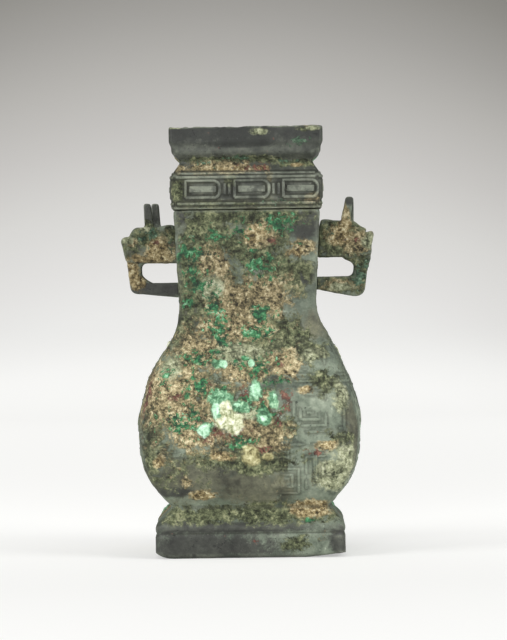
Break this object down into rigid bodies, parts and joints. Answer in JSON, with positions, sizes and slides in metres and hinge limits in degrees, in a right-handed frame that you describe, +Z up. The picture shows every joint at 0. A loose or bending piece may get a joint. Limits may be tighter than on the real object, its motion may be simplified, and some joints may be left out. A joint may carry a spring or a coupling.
{
  "type": "ritual wine jar",
  "caption": "Square-plan lidded bronze wine jar with a narrow neck, swelling belly, hollow foot and two animal-head loop handles.",
  "frame": {"origin": "middle of the underside of the foot, on the surface that the jar stands on", "axes": "+Z up through the lid; the broad front face looks along -Y and the handles stand on -X and +X"},
  "size_m": [0.2368, 0.166, 0.4],
  "materials": {
    "vessel_bronze": "corroded bronze with green and tan patina",
    "lid_bronze": "dark grey smooth patina",
    "handle_bronze": "grey-green patina with tan crust",
    "fired_clay": "rough fired clay"
  },
  "bodies": {
    "vessel": {"vessel_body": "vessel_bronze", "right_handle": "handle_bronze", "left_handle": "handle_bronze", "right_handle_clay_core": "fired_clay", "left_handle_clay_core": "fired_clay"},
    "lid": {"lid": "lid_bronze"}
  },
  "joints": [
    {"name": "lid_lift", "type": "slide", "parent": "vessel", "child": "lid", "axis": [0, 0, 1], "range_m": [0, 0.12]}
  ]
}
